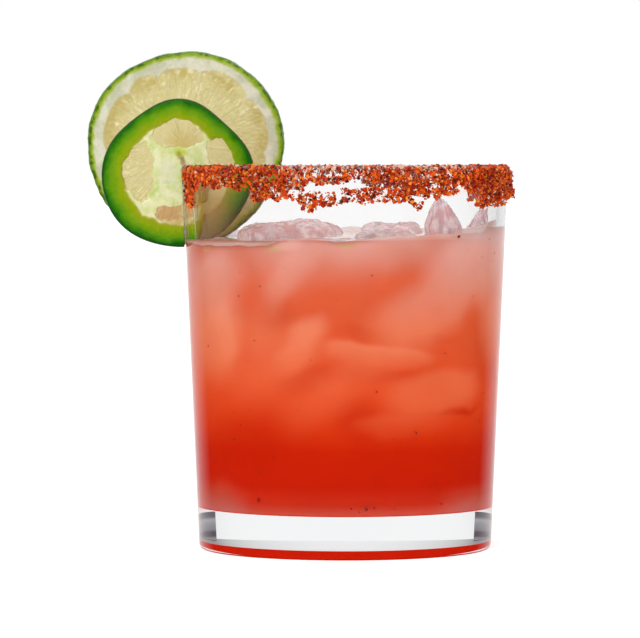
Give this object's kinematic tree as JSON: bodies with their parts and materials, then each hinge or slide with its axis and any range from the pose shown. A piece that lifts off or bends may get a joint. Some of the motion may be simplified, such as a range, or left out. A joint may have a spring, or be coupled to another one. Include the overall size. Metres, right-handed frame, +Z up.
{
  "type": "margarita cocktail",
  "caption": "Red margarita on ice in a straight-sided rocks glass, with a chilli-salt rim and a lime wheel and green chilli slice slotted on the rim.",
  "frame": {"origin": "centre of the glass's flat foot, on the table", "axes": "+Z up the glass's axis; -Y towards the viewer; the garnish hangs on the rim's -X side"},
  "size_m": [0.1121, 0.0888, 0.1273],
  "materials": {
    "clear_glass": "clear, polished",
    "drink": "cloudy orange-red, paler towards the top",
    "ice": "clear, wet, partly frosted",
    "lime": "wet pale pulp, green peel",
    "pepper": "moist green flesh, waxy skin",
    "seasoning": "coarse grains of chilli and salt"
  },
  "bodies": {
    "root": {"glass": "clear_glass", "drink": "drink", "ice_1": "ice", "ice_2": "ice", "ice_3": "ice", "ice_4": "ice", "ice_5": "ice", "ice_6": "ice", "ice_7": "ice", "lime_wheel": "lime", "jalapeno_slice": "pepper", "chilli_salt_rim": "seasoning"}
  },
  "joints": []
}
